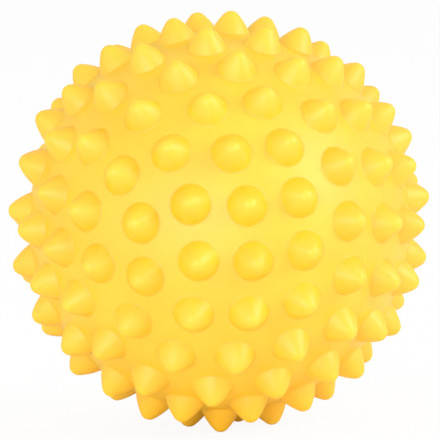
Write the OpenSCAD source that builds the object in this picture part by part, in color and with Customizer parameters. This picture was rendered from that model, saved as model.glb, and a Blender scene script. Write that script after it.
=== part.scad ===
// Soft hollow sensory ball: rounded conical nubs in rings, and an air valve at the bare pole.
// Millimetres, +Z up, origin on the floor straight below the ball's centre.

/* [Body] */
// Diameter of the smooth body without the nubs
ball_d = 90; // [80:1:120]
// Thickness of the hollow body's wall
wall_t = 2; // [1.5:0.1:3]

/* [Nubs] */
// Height of a nub above the body
nub_h = 5; // [4:0.1:8]
// Diameter of a nub's cone where it meets the body
nub_base_d = 9.3; // [7:0.1:10]
// Radius of a nub's rounded tip
nub_tip_r = 2.3; // [1:0.05:2.6]
// Radius of the hollow fillet around a nub's foot
foot_fillet_r = 0.7; // [0.3:0.1:1.2]
// Angle between two neighbouring rings of nubs, in degrees
ring_step = 15.9; // [15.5:0.05:16.1]

/* [Valve seat] */
// Diameter of the seat's neck, which fills the hole in the wall
neck_d = 9.4; // [9.2:0.1:12]
// Diameter of the flange that is bonded under the wall
flange_d = 17; // [13:0.5:20]
// Thickness of the flange
flange_t = 1.4; // [1:0.1:2]
// Diameter of the sleeve inside the ball
sleeve_d = 7; // [6:0.1:9]
// Length of the sleeve below the flange
sleeve_len = 5; // [3:0.5:8]

/* [Valve plug] */
// Diameter of the plug's head
head_d = 6.6; // [6:0.1:7.4]
// Thickness of the plug's head at its edge
head_t = 1.2; // [0.8:0.1:1.5]
// Diameter of the plug's sealing rings
stem_d = 3.9; // [3:0.1:4.6]
// Length of the plug's stem below its head
stem_len = 6.4; // [5:0.1:7.5]

/* [Hidden] */
$fn = 48;

// Running clearance between the plug's sealing rings and the seat's bore
bore_gap = 0.05;
// Clearance around the plug's head in the seat's recess
head_gap = 0.15;
// Film of adhesive between the seat and the wall
bond_gap = 0.03;
// Depth of the valve's outer face below the body's surface
flush_depth = 0.1;
// How far a cut runs past the surface that it opens
overrun = 1;
// Radius and depth of the finger dish in the plug's head
dish_r = 2.1;
dish_depth = 0.4;
// Radius and depth of the grooves between the plug's sealing rings
groove_r = 0.6;
groove_depth = 0.35;
groove_count = 3;
// Chamfer at the plug's tip and at the inner mouth of the seat's bore
lead_in = 0.5;

// Nubs in each ring, from the pole nub outwards
ring_counts = [1, 6, 12, 16, 20, 23, 22, 20, 17, 12, 6];
// Turn of each ring about the pole, as a share of the spacing of its own nubs
ring_turn_shares = [0, 0, 0, 0.1, 0.85, 0.05, 0.75, 0.15, 0.85, 0.65, 0.5];
rings = [0 : len(ring_counts) - 1];
// Attitude of the field, in which three neighbouring nubs stand on the floor at the same height
field_tilt = 93.466;
field_turn = 215.546;
field_spin = 194.87;

ball_r = ball_d / 2;
inner_r = ball_r - wall_t;
nub_r = nub_base_d / 2;
root_depth = wall_t / 2;
// Heights of the tip's centre and of the cone's base circle above the body's crown
tip_centre_h = nub_h - nub_tip_r;
base_h = sqrt(ball_r * ball_r - nub_r * nub_r) - ball_r;
// Half angle of the cone that runs from the base circle up to touch the round tip
flank_h = tip_centre_h - base_h;
flank_angle = 90 - atan2(flank_h, nub_r) - asin(nub_tip_r / norm([nub_r, flank_h]));
foot_r = nub_r + foot_fillet_r * (1 - sin(flank_angle)) / cos(flank_angle);
foot_steps = 4;
tip_steps = 7;
// The round tip ends in a flat as wide as one of its own steps
tip_step = (90 - flank_angle) / (tip_steps + 0.5);
tip_flat_h = tip_centre_h + nub_tip_r * sin(90 - tip_step / 2);

neck_r = neck_d / 2;
flange_r = flange_d / 2;
sleeve_r = sleeve_d / 2;
head_r = head_d / 2;
stem_r = stem_d / 2;
bore_r = stem_r + bore_gap;
recess_r = head_r + head_gap;
// Radius of the sphere that the valve's outer face follows, and of the one its flange is bonded to
face_r = ball_r - flush_depth;
bond_r = inner_r - bond_gap;
// Heights along the valve's axis, from the ball's centre
head_edge_h = sqrt(face_r * face_r - head_r * head_r);
head_under_h = head_edge_h - head_t;
sleeve_end_h = bond_r - flange_t - sleeve_len;
stem_end_h = head_under_h - stem_len;
groove_pitch = stem_len / (groove_count + 1);
groove_place_r = stem_r + groove_r - groove_depth;
// Radius of the sphere that hollows the finger dish
dish_ball_r = (dish_r * dish_r + dish_depth * dish_depth) / (2 * dish_depth);

// Place of nub i in ring k, in the field's own frame with the pole nub on +Z
function nub_turn(k, i) = (i + ring_turn_shares[k]) * 360 / ring_counts[k];
function nub_dir(k, i) = [
    sin(k * ring_step) * cos(nub_turn(k, i)),
    sin(k * ring_step) * sin(nub_turn(k, i)),
    cos(k * ring_step)
];
// The floor's direction in the field's own frame, and how far the lowest nub reaches along it
floor_dir = [sin(field_tilt) * cos(field_spin), -sin(field_tilt) * sin(field_spin), -cos(field_tilt)];
lowest_share = max([for (k = rings, i = [0 : ring_counts[k] - 1]) nub_dir(k, i) * floor_dir]);
centre_h = (ball_r + tip_centre_h) * lowest_share + nub_tip_r;

// Half outline of a nub: root in the wall, hollow foot, straight flank and round tip
function root_edge() = [[0, -root_depth], [foot_r, -root_depth]];
function foot_arc() = [
    for (s = [0 : foot_steps])
    let (t = 270 - (90 - flank_angle) * s / foot_steps)
    [foot_r + foot_fillet_r * cos(t), base_h + foot_fillet_r * (1 + sin(t))]
];
function tip_arc() = [
    for (s = [0 : tip_steps])
    let (t = flank_angle + s * tip_step)
    [nub_tip_r * cos(t), tip_centre_h + nub_tip_r * sin(t)]
];

module nub() {
    rotate_extrude()
        polygon(concat(root_edge(), foot_arc(), tip_arc(), [[0, tip_flat_h]]));
}

module nub_field() {
    for (k = rings, i = [0 : ring_counts[k] - 1])
        rotate([0, k * ring_step, nub_turn(k, i)]) translate([0, 0, ball_r]) nub();
}

// Stands the field's own frame on the floor
module on_floor() {
    translate([0, 0, centre_h])
        rotate([0, field_tilt, field_turn]) rotate([0, 0, field_spin]) children();
}

// The valve's axis leaves the ball at the bare pole, opposite the pole nub
module at_valve() {
    on_floor() rotate([180, 0, 0]) children();
}

// One half of a turned outline: the band between two heights out to a radius
module band(r, low, high) {
    translate([0, low]) square([r, high - low]);
}

module seat_outline() {
    difference() {
        union() {
            intersection() {
                circle(r = face_r);
                band(neck_r, sleeve_end_h + sleeve_len, ball_r);
            }
            intersection() {
                difference() {
                    circle(r = bond_r);
                    circle(r = bond_r - flange_t);
                }
                band(flange_r, sleeve_end_h, ball_r);
            }
            band(sleeve_r, sleeve_end_h, sleeve_end_h + sleeve_len);
        }
        band(bore_r, sleeve_end_h - overrun, ball_r + overrun);
        band(recess_r, head_under_h, ball_r + overrun);
        polygon([
            [0, sleeve_end_h - overrun],
            [bore_r + lead_in + overrun, sleeve_end_h - overrun],
            [bore_r, sleeve_end_h + lead_in],
            [0, sleeve_end_h + lead_in]
        ]);
    }
}

module plug_outline() {
    difference() {
        union() {
            intersection() {
                circle(r = face_r);
                band(head_r, head_under_h, ball_r);
            }
            polygon([
                [0, stem_end_h],
                [stem_r - lead_in, stem_end_h],
                [stem_r, stem_end_h + lead_in],
                [stem_r, head_under_h + head_t / 2],
                [0, head_under_h + head_t / 2]
            ]);
        }
        for (g = [1 : groove_count])
            translate([groove_place_r, head_under_h - g * groove_pitch]) circle(r = groove_r);
        translate([0, face_r - dish_depth + dish_ball_r]) circle(r = dish_ball_r);
    }
}

module ball_shell() {
    color([0.99, 0.86, 0.33]) difference() {
        union() {
            translate([0, 0, centre_h]) sphere(r = ball_r);
            on_floor() nub_field();
        }
        translate([0, 0, centre_h]) sphere(r = inner_r);
        at_valve() translate([0, 0, inner_r - overrun])
            cylinder(r = neck_r + bond_gap, h = wall_t + 2 * overrun);
    }
}

module valve_seat() {
    color([0.97, 0.82, 0.3]) at_valve() rotate_extrude() seat_outline();
}

module valve_plug() {
    color([0.96, 0.94, 0.86]) at_valve() rotate_extrude() plug_outline();
}

ball_shell();
valve_seat();
valve_plug();
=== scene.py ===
import math

import bpy
from mathutils import Matrix, Vector


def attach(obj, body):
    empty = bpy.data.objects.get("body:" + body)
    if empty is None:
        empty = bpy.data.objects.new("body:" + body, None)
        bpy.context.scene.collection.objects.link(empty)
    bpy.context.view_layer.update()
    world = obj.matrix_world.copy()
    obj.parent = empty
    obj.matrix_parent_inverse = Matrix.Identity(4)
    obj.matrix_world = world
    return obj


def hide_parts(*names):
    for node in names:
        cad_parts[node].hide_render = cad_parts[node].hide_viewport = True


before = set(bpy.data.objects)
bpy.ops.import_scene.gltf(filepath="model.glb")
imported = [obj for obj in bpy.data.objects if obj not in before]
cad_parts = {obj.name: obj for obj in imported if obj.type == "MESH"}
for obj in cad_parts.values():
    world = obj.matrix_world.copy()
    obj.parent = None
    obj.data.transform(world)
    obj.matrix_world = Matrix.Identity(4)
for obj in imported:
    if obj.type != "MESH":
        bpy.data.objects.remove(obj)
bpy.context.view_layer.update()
print("frame loaded:", ", ".join(sorted(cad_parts)))


# helpers for work by hand

def deselectAll():
    if bpy.context.object and bpy.context.object.mode != "OBJECT":
        bpy.ops.object.mode_set(mode="OBJECT")
    bpy.ops.object.select_all(action="DESELECT")


def pick(*pieces):
    deselectAll()
    for piece in pieces:
        piece.select_set(True)
    bpy.context.view_layer.objects.active = pieces[0]
    return pieces[0]


def placeMesh(piece, place):
    piece.data.transform(place)
    piece.data.update()
    return piece


def twinOf(piece, place):
    twin = piece.copy()
    twin.data = piece.data.copy()
    bpy.context.scene.collection.objects.link(twin)
    return placeMesh(twin, place)


def applyLast(piece):
    pick(piece)
    bpy.ops.object.modifier_apply(modifier=piece.modifiers[-1].name)
    return piece


def applyBoolean(piece, tool, operation):
    pick(piece)
    bpy.ops.object.modifier_add(type="BOOLEAN")
    cut = piece.modifiers[-1]
    cut.operation = operation
    cut.solver = "MANIFOLD"
    cut.object = tool
    applyLast(piece)
    bpy.data.objects.remove(tool)
    return piece


def smoothUnder(piece, degrees):
    pick(piece)
    bpy.ops.object.shade_smooth_by_angle(angle=math.radians(degrees))
    print(piece.name, "faces:", len(piece.data.polygons))
    return piece


def turnedBy(degrees, axis):
    return Matrix.Rotation(math.radians(degrees), 4, axis)


def arcPoints(middle, radius, fromDegrees, toDegrees, steps):
    points = []
    for step in range(steps + 1):
        angle = math.radians(fromDegrees + (toDegrees - fromDegrees) * step / steps)
        points.append((middle[0] + radius * math.cos(angle), middle[1] + radius * math.sin(angle)))
    return points


def onSphere(radius, offAxis):
    return (offAxis, math.sqrt(radius ** 2 - offAxis ** 2))


def alongSphere(radius, fromRadius, toRadius, steps):
    stride = toRadius - fromRadius
    return [onSphere(radius, fromRadius + stride * step / steps) for step in range(steps + 1)]


turning = {
    "startSize": 0.001,  # of the plane that is merged into the line's first point
    "weldDistance": 0.000001,
}


# a line drawn point by point, radius and height, then spun round Z
def turnedPiece(name, outline, sides):
    deselectAll()
    bpy.ops.mesh.primitive_plane_add(size=turning["startSize"])
    piece = bpy.context.object
    piece.name = name
    bpy.ops.object.mode_set(mode="EDIT")
    bpy.ops.mesh.select_all(action="SELECT")
    bpy.ops.mesh.merge(type="CENTER")
    bpy.ops.transform.translate(value=(outline[0][0], 0, outline[0][1]))
    for here, there in zip(outline, outline[1:]):
        stride = (there[0] - here[0], 0, there[1] - here[1])
        bpy.ops.mesh.extrude_vertices_move(TRANSFORM_OT_translate={"value": stride})
    bpy.ops.mesh.select_all(action="SELECT")
    bpy.ops.mesh.spin(steps=sides, angle=2 * math.pi, center=(0, 0, 0), axis=(0, 0, 1))
    bpy.ops.mesh.select_all(action="SELECT")
    bpy.ops.mesh.remove_doubles(threshold=turning["weldDistance"])
    bpy.ops.mesh.normals_make_consistent(inside=False)
    bpy.ops.object.mode_set(mode="OBJECT")
    return piece


# the ball: a hollow body and rings of nubs round a pole

ball = {
    "bodyRadius": 0.045,
    "wall": 0.002,
    "nubsPerRing": [1, 6, 12, 16, 20, 23, 22, 20, 17, 12, 6],
    "ringTurnShares": [0, 0, 0, 0.1, 0.85, 0.05, 0.75, 0.15, 0.85, 0.65, 0.5],
    "ringStep": 15.9,  # degrees
    "tilt": 93.466,  # of the pole nub from upright, so that it lies almost level
    "turn": 215.546,  # of the pole nub about Z
    "spin": 194.87,  # of the rings about their pole
    "fineness": 6,  # of the body's sphere
    "innerFineness": 5,
    "dents": 0.00006,  # slow dents of a soft moulded wall
    "dentSize": 0.012,
    "smoothAngle": 22,
}

nub = {
    "height": 0.005,
    "baseRadius": 0.00465,
    "tipRadius": 0.0023,
    "footRadius": 0.0007,  # hollow round the foot
    "footSunk": 0.00008,
    "root": 0.001,  # inside the wall
    "sides": 24,
    "footSteps": 3,
    "swell": 10,  # degrees that the flank turns to either side of straight
    "firstLean": 30,  # degrees, a guess from which the flank's own lean is found
    "leanTries": 20,
    "flankSteps": 5,
    "tipSteps": 6,
}


def nubPlaces():
    places = []
    for ring, count in enumerate(ball["nubsPerRing"]):
        for place in range(count):
            turn = (place + ball["ringTurnShares"][ring]) * 360 / count
            places.append(turnedBy(turn, "Z") @ turnedBy(ring * ball["ringStep"], "Y"))
    return places


field = turnedBy(ball["turn"], "Z") @ turnedBy(ball["tilt"], "Y") @ turnedBy(ball["spin"], "Z")
tipMiddle = Vector((0, 0, ball["bodyRadius"] + nub["height"] - nub["tipRadius"]))
centreHeight = nub["tipRadius"] - min((field @ place @ tipMiddle).z for place in nubPlaces())
standing = Matrix.Translation((0, 0, centreHeight))
print("ball centre stands at", round(centreHeight * 1000, 3), "mm")


# half outline: root, hollow foot, flank that swells a little, round tip
def nubOutline():
    base, tip, foot, swell = nub["baseRadius"], nub["tipRadius"], nub["footRadius"], nub["swell"]
    baseHeight = onSphere(ball["bodyRadius"], base)[1] - ball["bodyRadius"]
    tipHeight = nub["height"] - tip

    # from the base up to where the flank touches the tip, for a flank that leans so much
    def flankSpan(lean):
        touch = math.radians(lean + swell)
        return base - tip * math.cos(touch), tipHeight + tip * math.sin(touch) - baseHeight

    lean = nub["firstLean"]
    for tries in range(nub["leanTries"]):
        lean = math.degrees(math.atan2(*flankSpan(lean)))
    low, high = lean - swell, lean + swell
    flank = math.hypot(*flankSpan(lean)) / (2 * math.sin(math.radians(swell)))
    touch = math.radians(high)
    flankMiddle = ((tip - flank) * math.cos(touch), tipHeight + (tip - flank) * math.sin(touch))
    footPlace = base + foot * (1 - math.sin(math.radians(low))) / math.cos(math.radians(low))
    footMiddle = (footPlace, baseHeight - nub["footSunk"] + foot)
    outline = [(0, -nub["root"]), (footPlace, -nub["root"])]
    outline += arcPoints(footMiddle, foot, 270, 180 + low, nub["footSteps"])
    outline += arcPoints(flankMiddle, flank, low, high, nub["flankSteps"])[1:-1]
    outline += arcPoints((0, tipHeight), tip, high, 90, nub["tipSteps"])
    return outline


def makeNubs():
    first = turnedPiece("nubs", nubOutline(), nub["sides"])
    seat = Matrix.Translation((0, 0, ball["bodyRadius"]))
    nubs = [twinOf(first, field @ place @ seat) for place in nubPlaces()]
    bpy.data.objects.remove(first)
    joined = pick(*nubs)
    bpy.ops.object.join()
    print("nubs:", len(nubs))
    return joined


def makeSphere(radius, fineness):
    deselectAll()
    bpy.ops.mesh.primitive_ico_sphere_add(subdivisions=fineness, radius=radius)
    return bpy.context.object


# the fine line that the two halves of the mould leave between two rings of nubs

seam = {
    "angle": 103.3,  # degrees from the pole nub
    "thickness": 0.00022,
    "proud": 0.00012,
    "segments": 288,
    "sides": 10,
}


def makeSeam():
    angle = math.radians(seam["angle"])
    reach = ball["bodyRadius"] - seam["thickness"] + seam["proud"]
    deselectAll()
    bpy.ops.mesh.primitive_torus_add(
        major_segments=seam["segments"], minor_segments=seam["sides"],
        major_radius=reach * math.sin(angle), minor_radius=seam["thickness"])
    ring = bpy.context.object
    return placeMesh(ring, field @ Matrix.Translation((0, 0, reach * math.cos(angle))))


# the valve at the bare pole: its ring is bonded into the wall, its plug pulls out

valve = {
    "holeRadius": 0.00473,
    "holeCut": 0.006,
    "faceDepth": 0.0001,  # of its outer face below the body's
    "bondGap": 0.00003,
    "leadIn": 0.0005,
    "softEdge": 0.00018,
    "softSteps": 3,
    "softEnd": 85,  # degrees, where a soft edge runs into the domed face
    "sides": 48,
    "smoothAngle": 32,
}

valveRing = {
    "neckRadius": 0.0047,
    "flangeRadius": 0.0085,
    "flangeThickness": 0.0014,
    "flangeSteps": 4,
    "sleeveRadius": 0.0035,
    "sleeveLength": 0.005,
    "boreRadius": 0.002,
    "recessRadius": 0.00345,
}

pullPlug = {
    "headRadius": 0.0033,
    "headThickness": 0.0012,
    "dishRadius": 0.0021,
    "dishDepth": 0.0004,
    "dishSteps": 6,
    "stemRadius": 0.00195,
    "stemLength": 0.0064,
    "grooves": 3,
    "grooveRadius": 0.0006,
    "grooveDepth": 0.00035,
    "grooveStep": 0.0016,
    "grooveSteps": 6,
}

valveWay = field @ turnedBy(180, "X")
faceSphere = ball["bodyRadius"] - valve["faceDepth"]
bondSphere = ball["bodyRadius"] - ball["wall"] - valve["bondGap"]
headUnder = onSphere(faceSphere, pullPlug["headRadius"])[1] - pullPlug["headThickness"]


# slow dents, only inwards, so that nothing stands proud of the solid
def dentWall(skin):
    dents = bpy.data.textures.new("wallDents", "CLOUDS")
    dents.noise_scale = ball["dentSize"]
    pick(skin)
    bpy.ops.object.modifier_add(type="DISPLACE")
    sag = skin.modifiers[-1]
    sag.texture = dents
    sag.texture_coords = "LOCAL"
    sag.mid_level = 1
    sag.strength = ball["dents"]
    return applyLast(skin)


def makeSkin():
    skin = makeSphere(ball["bodyRadius"], ball["fineness"])
    skin.name = "ball_skin"
    applyBoolean(skin, makeNubs(), "UNION")
    applyBoolean(skin, makeSeam(), "UNION")
    dentWall(skin)
    inside = makeSphere(ball["bodyRadius"] - ball["wall"], ball["innerFineness"])
    applyBoolean(skin, inside, "DIFFERENCE")
    deselectAll()
    bpy.ops.mesh.primitive_cylinder_add(
        vertices=valve["sides"], radius=valve["holeRadius"], depth=valve["holeCut"])
    wallMiddle = Matrix.Translation((0, 0, ball["bodyRadius"] - ball["wall"] / 2))
    hole = placeMesh(bpy.context.object, valveWay @ wallMiddle)
    applyBoolean(skin, hole, "DIFFERENCE")
    return smoothUnder(placeMesh(skin, standing), ball["smoothAngle"])


def softCorner(corner, fromDegrees, toDegrees):
    return arcPoints(corner, valve["softEdge"], fromDegrees, toDegrees, valve["softSteps"])


def ringOutline():
    soft, leadIn, steps = valve["softEdge"], valve["leadIn"], valveRing["flangeSteps"]
    neck, recess, bore = valveRing["neckRadius"], valveRing["recessRadius"], valveRing["boreRadius"]
    sleeve, flange = valveRing["sleeveRadius"], valveRing["flangeRadius"]
    neckTop = onSphere(faceSphere, neck)[1]
    recessTop = onSphere(faceSphere, recess)[1]
    under = bondSphere - valveRing["flangeThickness"]
    end = under - valveRing["sleeveLength"]
    outline = [(bore, headUnder - soft)]
    outline += softCorner((bore + soft, headUnder - soft), 180, 90)[1:]
    outline += [(recess, headUnder), (recess, recessTop - soft)]
    outline += softCorner((recess + soft, recessTop - soft), 180, 90)[1:]
    outline += softCorner((neck - soft, neckTop - soft), valve["softEnd"], 0)
    outline += alongSphere(bondSphere, neck, flange, steps)
    outline += alongSphere(under, flange, sleeve, steps)
    outline += [(sleeve, end + soft), (sleeve - soft, end)]
    outline += [(bore + leadIn, end), (bore, end + leadIn)]
    return outline + outline[:1]


# sealing rings are what the grooves leave of the stem
def grooveLines():
    groove, deep = pullPlug["grooveRadius"], pullPlug["grooveDepth"]
    reach = math.degrees(math.acos((groove - deep) / groove))
    offAxis = pullPlug["stemRadius"] + groove - deep
    lines = []
    for number in range(pullPlug["grooves"], 0, -1):
        middle = (offAxis, headUnder - number * pullPlug["grooveStep"])
        lines += arcPoints(middle, groove, 180 + reach, 180 - reach, pullPlug["grooveSteps"])
    return lines


# a shallow dish for the finger, from its edge to the middle of the head
def dishLine():
    dish, steps = pullPlug["dishRadius"], pullPlug["dishSteps"]
    edgeHeight = onSphere(faceSphere, dish + valve["softEdge"])[1]
    line = []
    for step in range(1, steps + 1):
        share = 1 - step / steps
        line.append((dish * share, edgeHeight - pullPlug["dishDepth"] * (1 - share ** 2)))
    return line


def plugOutline():
    soft, leadIn = valve["softEdge"], valve["leadIn"]
    head, stem = pullPlug["headRadius"], pullPlug["stemRadius"]
    end = headUnder - pullPlug["stemLength"]
    headTop = onSphere(faceSphere, head)[1]
    outline = [(0, end), (stem - leadIn, end), (stem, end + leadIn)]
    outline += grooveLines()
    outline += [(stem, headUnder), (head - soft, headUnder)]
    outline += softCorner((head - soft, headUnder + soft), 270, 360)[1:]
    outline += softCorner((head - soft, headTop - soft), 0, valve["softEnd"])
    outline += alongSphere(faceSphere, head - 2 * soft, pullPlug["dishRadius"] + soft, 2)
    return outline + dishLine()


def makeValvePiece(name, outline):
    piece = placeMesh(turnedPiece(name, outline, valve["sides"]), standing @ valveWay)
    return smoothUnder(piece, valve["smoothAngle"])


ballSkin = makeSkin()
valveSeat = makeValvePiece("valve_ring", ringOutline())
valvePlug = makeValvePiece("pull_plug", plugOutline())


# finishes: the deeper of two colours lies in the clouds of the vinyl

skinFinish = {
    "name": "yellowVinyl",
    "colour": (1.0, 0.592, 0.007, 1),
    "deep": (1.0, 0.558, 0.005, 1),
    "roughness": 0.5,
    "cloudScale": 70,
    "grainScale": 1800,
    "grainHeight": 0.00002,
    "subsurface": 0.8,
}

seatFinish = {
    "name": "valveVinyl",
    "colour": (0.95, 0.6, 0.05, 1),
    "deep": (0.9, 0.5, 0.03, 1),
    "roughness": 0.5,
    "cloudScale": 200,
    "grainScale": 2400,
    "grainHeight": 0.00002,
    "subsurface": 0.15,
}

plugFinish = {
    "name": "plugPlastic",
    "colour": (0.9, 0.86, 0.72, 1),
    "deep": (0.84, 0.78, 0.6, 1),
    "roughness": 0.3,
    "cloudScale": 260,
    "grainScale": 3000,
    "grainHeight": 0.00001,
    "subsurface": 0.1,
}

# what the three finishes share
vinyl = {
    "scatterRadius": (1.0, 0.9, 0.3),
    "scatterScale": 0.002,
    "refraction": 1.5,
    "shine": 1.0,
    "bump": 0.6,
    "roughnessSpread": 0.08,
    "cloudDetail": 3,
    "cloudFrom": 0.35,
    "cloudTo": 0.65,
    "cloudMiddle": 0.5,
    "grainDetail": 2,
}


def addSocket(group, name, direction, kind, value=None):
    socket = group.interface.new_socket(name=name, in_out=direction, socket_type=kind)
    if value is not None:
        socket.default_value = value


# soft moulded vinyl: cloudy colour, uneven gloss and a fine grain
def makeVinylGroup():
    group = bpy.data.node_groups.new("mouldedVinyl", "ShaderNodeTree")
    addSocket(group, "Colour", "INPUT", "NodeSocketColor", skinFinish["colour"])
    addSocket(group, "Deep Colour", "INPUT", "NodeSocketColor", skinFinish["deep"])
    addSocket(group, "Cloud Scale", "INPUT", "NodeSocketFloat", skinFinish["cloudScale"])
    addSocket(group, "Grain Scale", "INPUT", "NodeSocketFloat", skinFinish["grainScale"])
    addSocket(group, "Roughness", "INPUT", "NodeSocketFloat", skinFinish["roughness"])
    addSocket(group, "Roughness Spread", "INPUT", "NodeSocketFloat", vinyl["roughnessSpread"])
    addSocket(group, "Colour", "OUTPUT", "NodeSocketColor")
    addSocket(group, "Roughness", "OUTPUT", "NodeSocketFloat")
    addSocket(group, "Height", "OUTPUT", "NodeSocketFloat")
    nodes, links = group.nodes, group.links
    source = nodes.new("NodeGroupInput")
    result = nodes.new("NodeGroupOutput")
    where = nodes.new("ShaderNodeTexCoord")
    clouds = nodes.new("ShaderNodeTexNoise")
    clouds.inputs["Detail"].default_value = vinyl["cloudDetail"]
    links.new(where.outputs["Object"], clouds.inputs["Vector"])
    links.new(source.outputs["Cloud Scale"], clouds.inputs["Scale"])
    spread = nodes.new("ShaderNodeMapRange")
    spread.inputs["From Min"].default_value = vinyl["cloudFrom"]
    spread.inputs["From Max"].default_value = vinyl["cloudTo"]
    links.new(clouds.outputs["Fac"], spread.inputs["Value"])
    blend = nodes.new("ShaderNodeMix")
    blend.data_type = "RGBA"
    links.new(spread.outputs["Result"], blend.inputs["Factor"])
    links.new(source.outputs["Colour"], blend.inputs["A"])
    links.new(source.outputs["Deep Colour"], blend.inputs["B"])
    links.new(blend.outputs["Result"], result.inputs["Colour"])
    grain = nodes.new("ShaderNodeTexNoise")
    grain.inputs["Detail"].default_value = vinyl["grainDetail"]
    links.new(where.outputs["Object"], grain.inputs["Vector"])
    links.new(source.outputs["Grain Scale"], grain.inputs["Scale"])
    swing = nodes.new("ShaderNodeMath")
    swing.operation = "SUBTRACT"
    swing.inputs[1].default_value = vinyl["cloudMiddle"]
    links.new(clouds.outputs["Fac"], swing.inputs[0])
    uneven = nodes.new("ShaderNodeMath")
    uneven.operation = "MULTIPLY_ADD"
    links.new(swing.outputs[0], uneven.inputs[0])
    links.new(source.outputs["Roughness Spread"], uneven.inputs[1])
    links.new(source.outputs["Roughness"], uneven.inputs[2])
    links.new(uneven.outputs[0], result.inputs["Roughness"])
    links.new(grain.outputs["Fac"], result.inputs["Height"])
    return group


vinylGroup = makeVinylGroup()


def makeVinyl(finish):
    material = bpy.data.materials.new(finish["name"])
    material.use_nodes = True
    nodes, links = material.node_tree.nodes, material.node_tree.links
    shader = nodes["Principled BSDF"]
    shader.inputs["Subsurface Weight"].default_value = finish["subsurface"]
    shader.inputs["Subsurface Radius"].default_value = vinyl["scatterRadius"]
    shader.inputs["Subsurface Scale"].default_value = vinyl["scatterScale"]
    shader.inputs["IOR"].default_value = vinyl["refraction"]
    shader.inputs["Specular IOR Level"].default_value = vinyl["shine"]
    cast = nodes.new("ShaderNodeGroup")
    cast.node_tree = vinylGroup
    cast.inputs["Colour"].default_value = finish["colour"]
    cast.inputs["Deep Colour"].default_value = finish["deep"]
    cast.inputs["Cloud Scale"].default_value = finish["cloudScale"]
    cast.inputs["Grain Scale"].default_value = finish["grainScale"]
    cast.inputs["Roughness"].default_value = finish["roughness"]
    links.new(cast.outputs["Colour"], shader.inputs["Base Color"])
    links.new(cast.outputs["Roughness"], shader.inputs["Roughness"])
    bump = nodes.new("ShaderNodeBump")
    bump.inputs["Strength"].default_value = vinyl["bump"]
    bump.inputs["Distance"].default_value = finish["grainHeight"]
    links.new(cast.outputs["Height"], bump.inputs["Height"])
    links.new(bump.outputs["Normal"], shader.inputs["Normal"])
    return material


def dress(piece, finish, body, slot, *nodes):
    piece.data.materials.clear()
    piece.data.materials.append(makeVinyl(finish))
    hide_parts(*nodes)
    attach(piece, body)


dress(ballSkin, skinFinish, "ball", "soft_yellow", "ball_shell")
dress(valveSeat, seatFinish, "ball", "valve_soft_yellow", "valve_seat")
dress(valvePlug, plugFinish, "plug", "plug_ivory", "valve_plug")
print("finishes set")


# studio: pale floor, white surroundings, soft lamps

studio = {
    "floorSize": 60,
    "floorColour": (0.96, 0.96, 0.96, 1),
    "floorRoughness": 0.9,
    "floorShine": 0.2,
    "floorWhite": 0.92,  # share of plain white that the camera sees in it
    "white": (1, 1, 1, 1),
    "whiteStrength": 1,  # at which a background shows as white
    "surroundings": 0.78,  # strength of their light on the ball
    "lampDistance": 2.2,
}


def makeFloor():
    deselectAll()
    bpy.ops.mesh.primitive_plane_add(size=studio["floorSize"])
    floor = bpy.context.object
    floor.name = "floor"
    material = bpy.data.materials.new("paleFloor")
    material.use_nodes = True
    nodes, links = material.node_tree.nodes, material.node_tree.links
    shader = nodes["Principled BSDF"]
    shader.inputs["Base Color"].default_value = studio["floorColour"]
    shader.inputs["Roughness"].default_value = studio["floorRoughness"]
    shader.inputs["Specular IOR Level"].default_value = studio["floorShine"]
    glow = nodes.new("ShaderNodeEmission")
    glow.inputs["Strength"].default_value = studio["whiteStrength"]
    seen = nodes.new("ShaderNodeLightPath")
    share = nodes.new("ShaderNodeMath")
    share.operation = "MULTIPLY"
    share.inputs[1].default_value = studio["floorWhite"]
    links.new(seen.outputs["Is Camera Ray"], share.inputs[0])
    both = nodes.new("ShaderNodeMixShader")
    links.new(share.outputs[0], both.inputs[0])
    links.new(shader.outputs[0], both.inputs[1])
    links.new(glow.outputs[0], both.inputs[2])
    links.new(both.outputs[0], nodes["Material Output"].inputs["Surface"])
    floor.data.materials.append(material)


def makeSurroundings():
    world = bpy.data.worlds.new("whiteRoom")
    bpy.context.scene.world = world
    world.use_nodes = True
    nodes, links = world.node_tree.nodes, world.node_tree.links
    light = nodes["Background"]
    light.inputs["Color"].default_value = studio["white"]
    light.inputs["Strength"].default_value = studio["surroundings"]
    white = nodes.new("ShaderNodeBackground")
    white.inputs["Color"].default_value = studio["white"]
    white.inputs["Strength"].default_value = studio["whiteStrength"]
    seen = nodes.new("ShaderNodeLightPath")
    both = nodes.new("ShaderNodeMixShader")
    links.new(seen.outputs["Is Camera Ray"], both.inputs[0])
    links.new(light.outputs[0], both.inputs[1])
    links.new(white.outputs[0], both.inputs[2])
    links.new(both.outputs[0], nodes["World Output"].inputs["Surface"])


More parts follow.
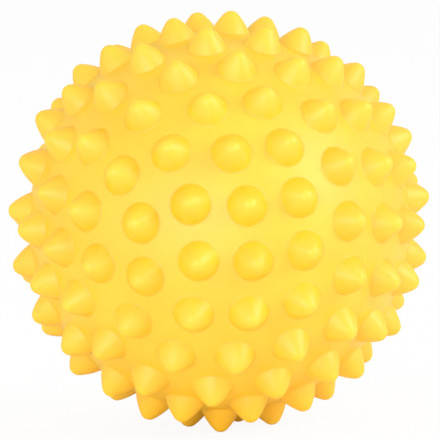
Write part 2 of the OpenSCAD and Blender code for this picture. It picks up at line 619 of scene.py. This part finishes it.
# where each lamp stands in degrees, its size in metres and how strongly it lights the ball
lamps = {
    "rightLamp": {"side": 71, "rise": 26, "width": 1.1, "height": 1.3, "light": 0.4},
    "leftLamp": {"side": -58, "rise": 12, "width": 2.0, "height": 1.4, "light": 0.12},
    "topLamp": {"side": 0, "rise": 58, "width": 2.0, "height": 2.0, "light": 0.03},
    "frontLamp": {"side": -12, "rise": 8, "width": 2.0, "height": 1.0, "light": 0.42},
}


def makeLamp(name):
    lamp = lamps[name]
    data = bpy.data.lights.new(name, "AREA")
    data.shape = "ELLIPSE"
    data.size = lamp["width"]
    data.size_y = lamp["height"]
    # with the distance squared, as much light reaches the ball from anywhere
    data.energy = lamp["light"] * (math.pi * studio["lampDistance"]) ** 2
    item = bpy.data.objects.new(name, data)
    bpy.context.scene.collection.objects.link(item)
    turn = turnedBy(lamp["side"], "Z") @ turnedBy(90 - lamp["rise"], "X")
    item.matrix_world = standing @ turn @ Matrix.Translation((0, 0, studio["lampDistance"]))
    item.visible_camera = False


photoView = {
    "distance": 1.0,
    "sensor": 36,  # millimetres, as the lens
    "lens": 345.7,
    "rise": 5.28,  # degrees above the ball's middle
    "side": -0.26,
    "roll": -1.58,
    "shiftX": 0.0016,
    "shiftY": 0.0018,
    "nearest": 0.01,
    "farthest": 100,
}


def makeCamera():
    data = bpy.data.cameras.new("photoCamera")
    data.sensor_width = photoView["sensor"]
    data.lens = photoView["lens"]
    camera = bpy.data.objects.new("photoCamera", data)
    bpy.context.scene.collection.objects.link(camera)
    aim = standing @ turnedBy(photoView["side"], "Z") @ turnedBy(90 - photoView["rise"], "X")
    aim = aim @ turnedBy(photoView["roll"], "Z")
    camera.matrix_world = aim @ Matrix.Translation((0, 0, photoView["distance"]))
    data.shift_x = photoView["shiftX"]
    data.shift_y = photoView["shiftY"]
    data.clip_start = photoView["nearest"]
    data.clip_end = photoView["farthest"]
    bpy.context.scene.camera = camera


makeFloor()
makeSurroundings()
for lampName in lamps:
    makeLamp(lampName)
makeCamera()
bpy.context.scene.view_settings.view_transform = "Standard"

print("scene ready")
